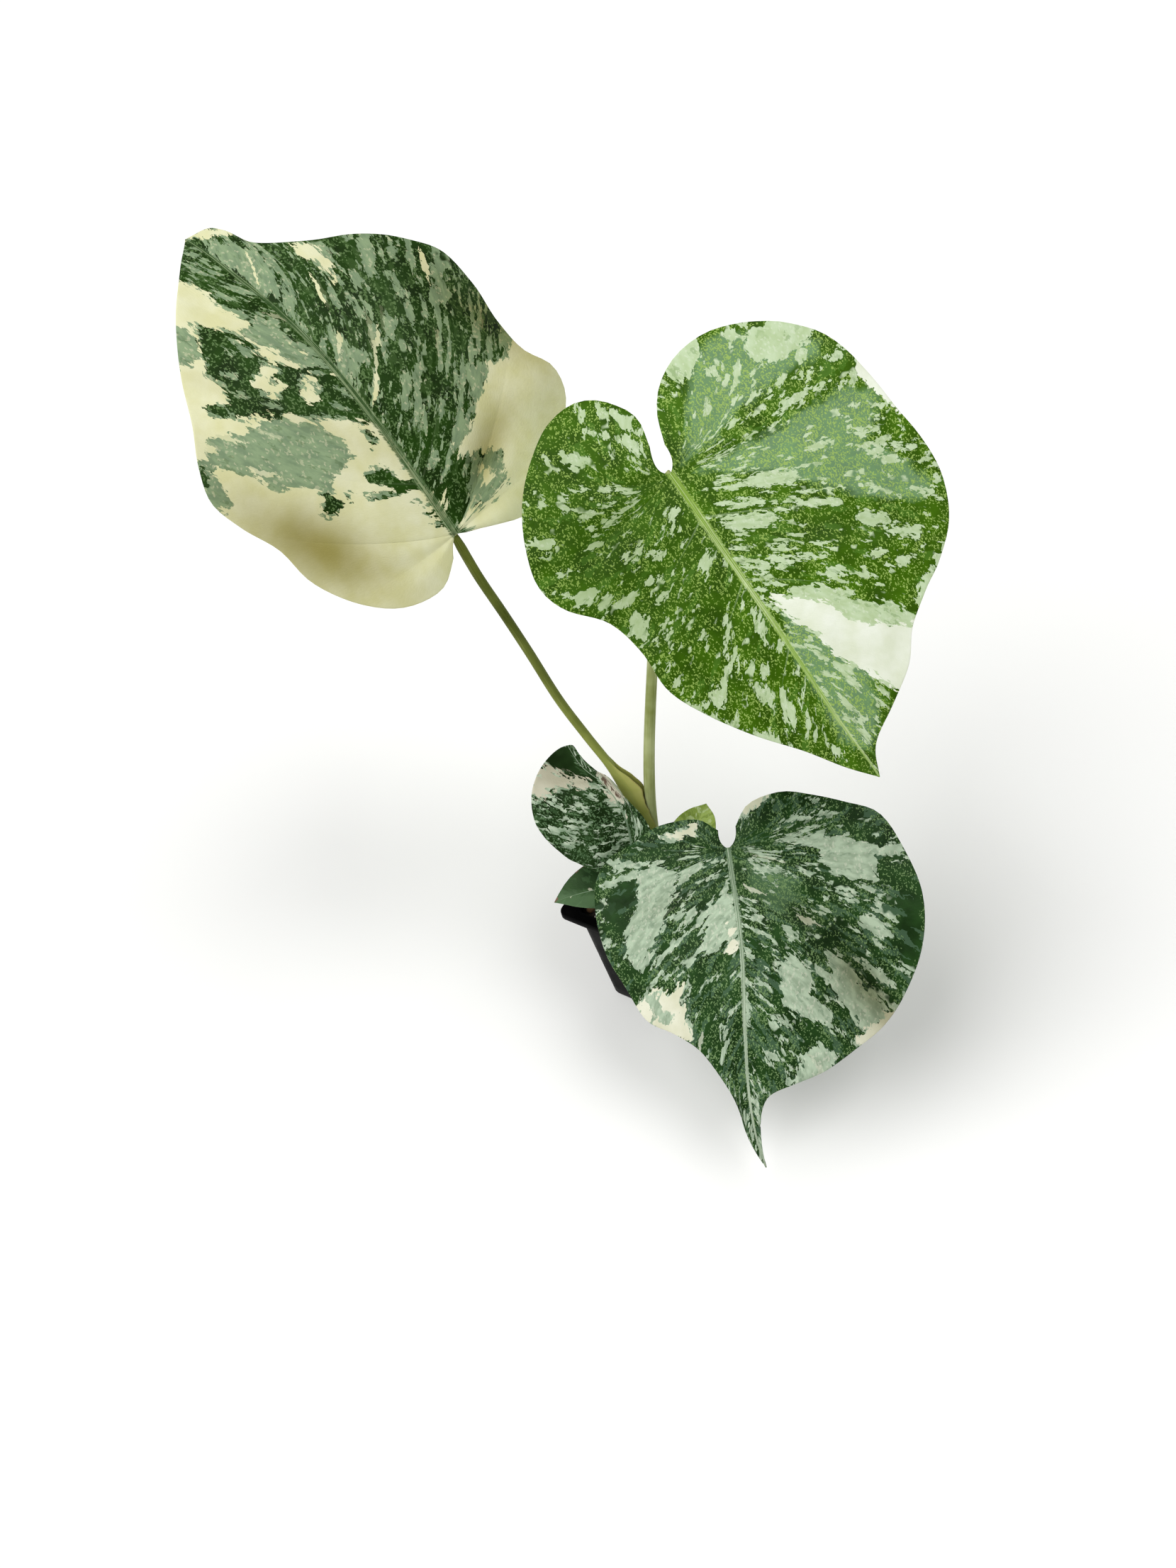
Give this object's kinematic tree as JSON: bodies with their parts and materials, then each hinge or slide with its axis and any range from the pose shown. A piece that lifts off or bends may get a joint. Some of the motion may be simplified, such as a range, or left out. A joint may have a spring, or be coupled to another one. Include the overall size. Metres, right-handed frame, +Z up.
{
  "type": "potted thai constellation monstera",
  "caption": "Young variegated monstera with six marbled cream, mint and green leaves in a small square black nursery pot.",
  "frame": {"origin": "centre of the pot's base, on the surface it stands on", "axes": "+Z up; the front leaf comes out towards +X and -Y, the upper left leaf towards -X and +Y"},
  "size_m": [0.3226, 0.3245, 0.4263],
  "materials": {
    "black_plastic": "matte",
    "bark_mix": "rough",
    "stem_green": "satin",
    "petiole_olive": "satin",
    "sheath_yellow_green": "satin",
    "leaf_cream_green": "satin",
    "leaf_bright_green": "satin",
    "leaf_blue_green": "satin"
  },
  "bodies": {
    "root": {"nursery_pot": "black_plastic", "potting_mix": "bark_mix", "stem": "stem_green", "leaf_upper_left_blade": "leaf_cream_green", "leaf_upper_left_petiole": "sheath_yellow_green", "leaf_upper_right_blade": "leaf_bright_green", "leaf_upper_right_petiole": "petiole_olive", "leaf_front_blade": "leaf_blue_green", "leaf_front_petiole": "petiole_olive", "leaf_folded_blade": "leaf_blue_green", "leaf_folded_petiole": "petiole_olive", "leaf_small_left_blade": "leaf_blue_green", "leaf_small_left_petiole": "petiole_olive", "leaf_small_right_blade": "leaf_blue_green", "leaf_small_right_petiole": "petiole_olive"}
  },
  "joints": []
}
